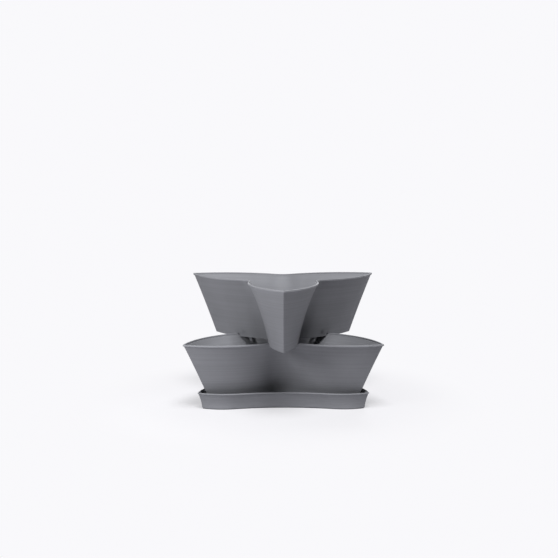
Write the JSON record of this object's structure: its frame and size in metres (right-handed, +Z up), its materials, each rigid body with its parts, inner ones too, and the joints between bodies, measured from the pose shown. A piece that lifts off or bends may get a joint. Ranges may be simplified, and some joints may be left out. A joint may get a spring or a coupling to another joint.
{
  "type": "vertical planter tower",
  "caption": "Stacking planter tower: three-lobed tapered tiers, each turned half a lobe on the one below, standing in a matching drip saucer.",
  "frame": {"origin": "centre of the three lobes, on the ground under the saucer", "axes": "+Z up, -Y to the front, where the upper tier's single lobe points; the lower tier's and the saucer's single lobe points to +Y"},
  "size_m": [0.5088, 0.5868, 0.3255],
  "materials": {
    "charcoal_plastic": "matte, moulded, fine satin grain"
  },
  "bodies": {
    "saucer": {"saucer_tray": "charcoal_plastic"},
    "lower": {"lower_tier": "charcoal_plastic"},
    "upper": {"upper_tier": "charcoal_plastic"}
  },
  "joints": [
    {"name": "lower_tier_lift", "type": "slide", "parent": "saucer", "child": "lower", "axis": [0, 0, 1], "range_m": [0, 0.05]},
    {"name": "upper_tier_lift", "type": "slide", "parent": "lower", "child": "upper", "axis": [0, 0, 1], "range_m": [0, 0.04]}
  ]
}
